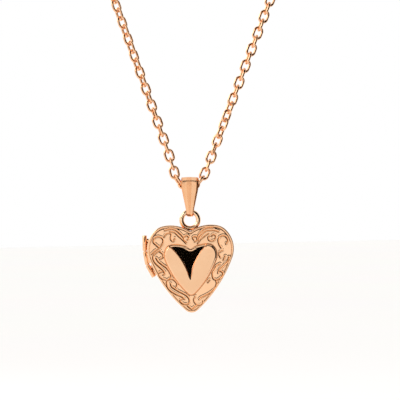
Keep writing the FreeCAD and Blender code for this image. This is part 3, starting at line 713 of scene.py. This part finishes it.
WALL_BEND = 0.18
RIM_START = -1.75
RIM_TOP = -2.0
RIM_WIDTH = 0.3  # of the plain rim, ended by a shallow line
RIM_CUT = 0.6
BORDER_FOOT = -1.92
DOME_TOP = -2.93
DOME_SPREAD = 0.1  # of the raised heart's foot beyond its outline
FACE_FALL = 0.036
FACE_BEND = -13.5  # height below which the face falls back
VALLEY_TIP = -19.8
VALLEY_FALL = 0.144
VALLEY_WALL = 0.2
VALLEY_REACH = 8  # height over which the valley goes on sinking
VALLEY_LEFT = [(-0.12, -19.8), (-0.38, -19.0), (-0.7, -17.92), (-1.24, -16.66), (-1.98, -15.39),
               (-2.95, -14.11), (-3.76, -13.26), (-4.4, -12.6)]
VALLEY_RIGHT = [(-0.12, -19.8), (0.02, -19.0), (0.16, -17.94), (0.54, -16.69), (1.14, -15.45),
                (1.91, -14.21), (2.67, -13.18), (3.4, -12.2)]


def dome_depth(x, z):
    """Depth y of the raised heart's face, and 1 midway down the valley's walls, 0 off them.

    The face is a flat that is tipped gently; the valley is a second flat that sinks towards
    the notch, between two smooth edges that meet at its tip.
    """
    left, right = through(VALLEY_LEFT), through(VALLEY_RIGHT)
    low, high = np.interp(z, left[:, 1], left[:, 0]), np.interp(z, right[:, 1], right[:, 0])
    off = np.abs(x - (low + high) / 2) - (high - low) / 2
    inside = np.clip(1 - off / VALLEY_WALL, 0, 1)
    inside = inside**2 * (3 - 2 * inside)
    sunk = VALLEY_FALL * np.clip(z - VALLEY_TIP, 0, VALLEY_REACH) * inside
    wall = 4 * inside * (1 - inside) * np.clip((z - VALLEY_TIP) / 0.8, 0, 1)
    return DOME_TOP + FACE_FALL * np.clip(FACE_BEND - z, 0, None) + sunk, wall


# The raised heart's step, as (distance in from its outline, share of its height).
STEP = [(0.0, 0.0), (0.03, 0.35), (0.06, 0.62), (0.1, 0.76), (0.16, 0.83), (0.22, 0.885),
        (0.28, 0.935), (0.33, 0.97), (0.38, 0.99), (0.42, 1.0)]
STEP_FOOT = 0.06  # how far the step starts behind the border
BEVEL = 0.72  # width of the bevel round the valley's mouth
BEVEL_FALL = 0.13
BEVEL_ROWS = 14  # rows of the face that can lie within the bevel
NOTCH_WIDTH = 1.3
NOTCH_LIFT = 0.38
NOTCH_FOOT = -15
DOME_MIDDLE = np.array([0.0, -17.2])
MOUTH_MIDDLE = -0.4
MOUTH_HALF = 3.9
MOUTH_FOOT = -15.5
MOUTH_SOFT = 0.5


def valley_share(points):
    """1 where points lie in the valley's mouth, 0 outside it, with a soft change between."""
    x, z = points[..., 0], points[..., 1]
    wide = np.clip((MOUTH_HALF - np.abs(x - MOUTH_MIDDLE)) / MOUTH_SOFT, 0, 1)
    return wide * np.clip((z - MOUTH_FOOT) / MOUTH_SOFT, 0, 1)


def front_shell():
    """The stamped shell's outside and inside as two grids, and the depth of its hollows.

    Rows of the outside run from the open edge up the wall, over the border to the foot of the
    raised heart, up its step and in to its middle. Rows of the inside run from its middle out
    to the open edge. Each grid closes at its middle, and the two meet at the edge.
    """
    grids, hollow = [], []
    bend = np.linspace(0, math.pi / 2, 6)
    wall_lines = [heart_outline(HEART)] * 2
    wall_lines += [heart_outline(HEART, WALL_BEND * (1 - math.cos(b))) for b in bend[1:]]
    wall_depths = [-SEAM, RIM_START]
    wall_depths += [RIM_START + (RIM_TOP - RIM_START) * math.sin(b) for b in bend[1:]]
    wall = rows(wall_lines, wall_depths)
    grids.append(wall)
    hollow.append(np.zeros(wall.shape[:2]))

    edge, foot = heart_outline(HEART, WALL_BEND), heart_outline(DOME, -DOME_SPREAD)
    share = np.linspace(0, 1, 46)[1:, None, None]
    flat = edge[None] * (1 - share) + foot[None] * share
    y = RIM_TOP + (BORDER_FOOT - RIM_TOP) * share[..., 0]
    cut, ridge = engraved(flat[..., 0], flat[..., 1])
    rim_away = np.linalg.norm(flat - edge[None], axis=-1)
    rim = np.exp(-(((rim_away - RIM_WIDTH) / 0.1) ** 2))
    cut = np.maximum(cut, RIM_CUT * rim)
    edge_fade = np.clip(rim_away / 0.1, 0, 1)
    foot_fade = np.clip(np.linalg.norm(flat - foot[None], axis=-1) / 0.15, 0, 1)
    y = y + (CUT_DEPTH * cut - BURR * ridge) * edge_fade * foot_fade
    grids.append(np.stack([flat[..., 0], y, flat[..., 1]], axis=-1))
    # Painted shade: the engraved cuts and the rim's line are marked to be painted darker and warmer.
    hollow.append(cut * edge_fade * foot_fade)

    lines = np.stack([heart_outline(DOME, inset) for inset, _ in STEP])
    notch = np.exp(-((lines[..., 0] / NOTCH_WIDTH) ** 2)) * (lines[..., 1] > NOTCH_FOOT)
    lines[..., 1] += NOTCH_LIFT * notch
    top, _ = dome_depth(lines[..., 0], lines[..., 1])
    inset = np.array([inset for inset, _ in STEP])[:, None]
    top = top + BEVEL_FALL * (BEVEL - inset) * valley_share(lines)
    climb = np.array([share for _, share in STEP])[:, None]
    climb = climb + (inset / STEP[-1][0] - climb) * valley_share(lines)
    y = (BORDER_FOOT + STEP_FOOT) * (1 - climb) + top * climb
    grids.append(np.stack([lines[..., 0], y, lines[..., 1]], axis=-1))
    # Painted shade: the foot of the raised heart's step is marked to be painted darker and warmer.
    hollow.append(np.clip(1 - climb * 1.3, 0, 1) * np.ones(y.shape))

    last = lines[-1]
    share = (1 - np.linspace(0, 1, 70)[1:])[:, None, None]
    face = DOME_MIDDLE + (last[None] - DOME_MIDDLE) * share
    y, wall = dome_depth(face[..., 0], face[..., 1])
    away = np.stack([np.linalg.norm(row[:, None] - last[None, ::3], axis=-1).min(axis=1)
                     for row in face[:BEVEL_ROWS]])
    edge = np.zeros(y.shape)
    edge[:BEVEL_ROWS] = np.clip(BEVEL - inset[-1] - away, 0, 1)
    y = y + BEVEL_FALL * edge * valley_share(face)
    grids.append(np.stack([face[..., 0], y, face[..., 1]], axis=-1))
    # Painted shade: the valley's walls are marked to be painted darker and warmer.
    hollow.append(wall)

    t = SHEET
    inner = [heart_outline(HEART, t + 0.25), heart_outline(HEART, t), heart_outline(HEART, t)]
    outward = [heart_outline(DOME, t, s) for s in (0, 0.5, 1.0)]
    outward += [heart_outline(DOME, t - DOME_SPREAD)]
    under = rows(outward + inner, [-2.2, -2.15, -2.0, BORDER_FOOT + 0.5, -1.3, -1.15, -SEAM])
    outside = np.concatenate([under[-1:], *grids])
    shade_and_dull = np.concatenate([np.zeros(under.shape[1]), *(part.reshape(-1) for part in hollow),
                           np.zeros(under[..., 0].size)])
    return hang(outside), hang(under), shade_and_dull


front_metal = rose_gold("rose_gold_front", "F1C49D", "E8AF81", 2.4, 0.05, depth=True)
outside, inside, hollows = front_shell()
stamped_front = make_piece("stamped_front", "locket_front", front_metal,
                           [(outside, False, True), (inside, False, True)], shade_and_dull=hollows)
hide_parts("front_cover")

# ---- The back cover ---------------------------------------------------------------------
# The same heart stamped plain, 0.35 mm thick and slightly domed, with a polished face.

BACK_WALL = 1.2
BACK_BEND = 0.3
BACK_DOME = 0.5


def back_shell():
    """The back's outside and inside as two grids.

    Rows of the outside run from the open edge over the wall and the dome to its middle; rows of
    the inside run from its middle out to the edge. The dome is a parabola.
    """
    bend = np.linspace(0, math.pi / 2, 8)
    lines = [heart_outline(HEART)] * 2
    lines += [heart_outline(HEART, BACK_BEND * (1 - math.cos(b))) for b in bend[1:]]
    depths = [SEAM, BACK_WALL] + [BACK_WALL + BACK_BEND * math.sin(b) for b in bend[1:]]
    shares = np.linspace(1, 0, 24)[1:]
    lines += [heart_outline(HEART, BACK_BEND, s) for s in shares]
    depths += [BACK_WALL + BACK_BEND + BACK_DOME * (1 - s**2) for s in shares]
    inner = [heart_outline(HEART, SHEET, s) for s in (0, 0.5, 0.9, 1, 1)]
    under = rows(inner, [1.64, 1.55, 1.35, 1.1, SEAM])
    return hang(np.concatenate([under[-1:], rows(lines, depths)])), hang(under)


outside, inside = back_shell()
stamped_back = make_piece("stamped_back", "locket_back", plate,
                          [(outside, False, True), (inside, False, True)], sharp=50)
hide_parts("back_cover")

# ---- Inside the locket ------------------------------------------------------------------
# A band soldered in the back cover that the front closes over, a snap bead on it, and in
# each cover a pressed photo frame, a clear plastic window and a photo card.

satin = rose_gold("rose_gold_satin", "EDBB90", "DB9A68", 1.2, 0.2)
for node in ("inner_lip", "snap_bead", "frame_back", "frame_front"):
    repaint(node, satin)

window, tree, output = new_material("clear_acetate")
# Clear acetate sheet: nearly colourless, glossy, with faint handling haze. It is so thin that
# shadow and scattered light pass straight through, which keeps the card behind it bright.
place = add(tree, "ShaderNodeTexCoord")
smear = add(tree, "ShaderNodeTexNoise", {"Scale": 500.0, "Detail": 3.0},
            {"Vector": place.outputs["Object"]})
haze = add(tree, "ShaderNodeMapRange", {"To Min": 0.02, "To Max": 0.12},
           {"Value": smear.outputs["Fac"]})
tint = add(tree, "ShaderNodeMix", {"A": linear("FBFCFC"), "B": linear("F1F4F4")},
           {"Factor": smear.outputs["Fac"]}, data_type="RGBA")
clear = add(tree, "ShaderNodeBsdfPrincipled", {"Transmission Weight": 1.0, "IOR": 1.48},
            {"Base Color": tint.outputs["Result"], "Roughness": haze.outputs["Result"]})
open_air = add(tree, "ShaderNodeBsdfTransparent", {"Color": linear("F4F6F6")})
rays = add(tree, "ShaderNodeLightPath")
unseen = add(tree, "ShaderNodeMath", None,
             {0: rays.outputs["Is Shadow Ray"], 1: rays.outputs["Is Diffuse Ray"]}, operation="MAXIMUM")
film = add(tree, "ShaderNodeMixShader", None,
           {"Fac": unseen.outputs["Value"], 1: clear.outputs["BSDF"], 2: open_air.outputs["BSDF"]})
tree.links.new(film.outputs["Shader"], output.inputs["Surface"])

card, tree, output = new_material("matt_card")
# Uncoated cream card: short paper fibres show as a faint mottle and a fine tooth.
place = add(tree, "ShaderNodeTexCoord")
fibre = add(tree, "ShaderNodeTexNoise", {"Scale": 3500.0, "Detail": 4.0},
            {"Vector": place.outputs["Object"]})
cream = add(tree, "ShaderNodeMix", {"A": linear("F1EADB"), "B": linear("E2D7C2")},
            {"Factor": fibre.outputs["Fac"]}, data_type="RGBA")
tooth = add(tree, "ShaderNodeBump", {"Strength": 0.4, "Distance": 0.02 * MM},
            {"Height": fibre.outputs["Fac"]})
dull = add(tree, "ShaderNodeMapRange", {"To Min": 0.75, "To Max": 0.92},
           {"Value": fibre.outputs["Fac"]})
paper = add(tree, "ShaderNodeBsdfPrincipled", None,
            {"Base Color": cream.outputs["Result"], "Roughness": dull.outputs["Result"],
             "Normal": tooth.outputs["Normal"]})
tree.links.new(paper.outputs["BSDF"], output.inputs["Surface"])
for side in ("front", "back"):
    repaint(f"window_{side}", window)
    repaint(f"photo_{side}", card)

# ---- The hinge --------------------------------------------------------------------------
# Three short tubes of drawn brass along the left side, soldered to the covers by small lugs,
# with a wire pin through them that is bent to follow the heart.

TUBE_RADIUS = 0.46
BORE_RADIUS = 0.27
KNUCKLE_LENGTH = 2.78
HINGE_MIDDLE = np.array([-9.33, 0.0, -15.13])
TUBE_CUT = 2.65  # length that sets the tubes' places; each is drawn slightly longer
TUBE_GAP = 0.28
KNUCKLE_REACH = (TUBE_CUT + TUBE_GAP) / 2
LEANS = {"upper": 0, "middle": 9, "lower": 28}
UPPER_EXTRA = 0.4
LUG_IN = 0.3
LUG_REACH = 0.55
LUG_LOW, LUG_HIGH = 0.12, 0.46


def rising(lean):
    """The direction up a knuckle that leans to the left by so many degrees."""
    turn = math.radians(90 + lean)
    return np.array([math.cos(turn), 0, math.sin(turn)])


def knuckle_middle(which):
    """The middle of a knuckle; the outer two stand end to end with the middle one."""
    step = rising(LEANS["middle"]) * KNUCKLE_REACH
    if which == "upper":
        return HINGE_MIDDLE + step + rising(LEANS["upper"]) * KNUCKLE_REACH
    if which == "lower":
        return HINGE_MIDDLE - step - rising(LEANS["lower"]) * KNUCKLE_REACH
    return HINGE_MIDDLE


def lathe(profile, middle, axis, sides=40):
    """A profile of (radius, height) turned about an axis in XZ; a closed profile makes a tube."""
    side = np.array([axis[2], 0, -axis[0]])
    turn = np.linspace(0, 2 * math.pi, sides, endpoint=False)
    ring = side * np.cos(turn)[:, None] + np.array([0, 1, 0]) * np.sin(turn)[:, None]
    radius, height = np.array(profile, float).T
    return middle + height[:, None, None] * axis + radius[:, None, None] * ring[None]


def lug(middle, axis, low, high, reach):
    """A small plate from inside the tube to the wall, low to high in y.

    Its outline is a superellipse, nearly square with rounded corners, shrunk to nothing at its
    bottom and top.
    """
    side = np.array([axis[2], 0, -axis[0]])
    half = KNUCKLE_LENGTH * 0.4
    level = np.array([low, low, low + 0.05, high - 0.05, high, high])
    grow = np.array([0.0, 0.95, 1.0, 1.0, 0.95, 0.0])
    turn = np.linspace(0, 2 * math.pi, 40, endpoint=False)
    box = np.stack([np.sign(np.cos(turn)) * np.abs(np.cos(turn)) ** 0.2,
                    np.sign(np.sin(turn)) * np.abs(np.sin(turn)) ** 0.2], axis=-1)
    across = (0.5 + 0.5 * box[:, 0] * grow[:, None]) * reach
    along = box[:, 1] * grow[:, None] * half
    return (middle + across[..., None] * side + along[..., None] * axis
            + level[:, None, None] * np.array([0, 1, 0]))


def knuckle(name, node, which, body, low, high, extra=0.0):
    """A tube with softened ends and its bore, and the lug that holds it; extra lengthens its top."""
    end = KNUCKLE_LENGTH / 2
    soft = 0.05
    cut = 0.015
    profile = [(BORE_RADIUS, -end + soft), (BORE_RADIUS + soft, -end), (TUBE_RADIUS - soft, -end),
               (TUBE_RADIUS - cut, -end + cut), (TUBE_RADIUS, -end + soft),
               (TUBE_RADIUS, end - soft), (TUBE_RADIUS - cut, end - cut),
               (TUBE_RADIUS - soft, end), (BORE_RADIUS + soft, end), (BORE_RADIUS, end - soft)]
    axis, middle = rising(LEANS[which]), knuckle_middle(which)
    profile = [(radius, height + (extra if height > 0 else 0)) for radius, height in profile]
    tube = hang(lathe(profile, middle, axis))
    root = middle + np.array([math.cos(math.radians(LEANS[which])), 0, 0]) * LUG_IN
    tab = hang(lug(root, axis, low, high, LUG_REACH))
    piece = make_piece(name, body, hinge_metal, [(tube, True, True), (tab, False, True)])
    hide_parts(node)


hinge_metal = rose_gold("rose_gold_tube", "F2C096", "E3A06C", 1.0, 0.12)
knuckle("front_tube", "front_knuckle", "middle", "locket_front", -LUG_HIGH, -LUG_LOW)
knuckle("upper_tube", "back_knuckle_upper", "upper", "locket_back", LUG_LOW, LUG_HIGH,
        extra=UPPER_EXTRA)
knuckle("lower_tube", "back_knuckle_lower", "lower", "locket_back", LUG_LOW, LUG_HIGH)
repaint("hinge_pin", hinge_metal)
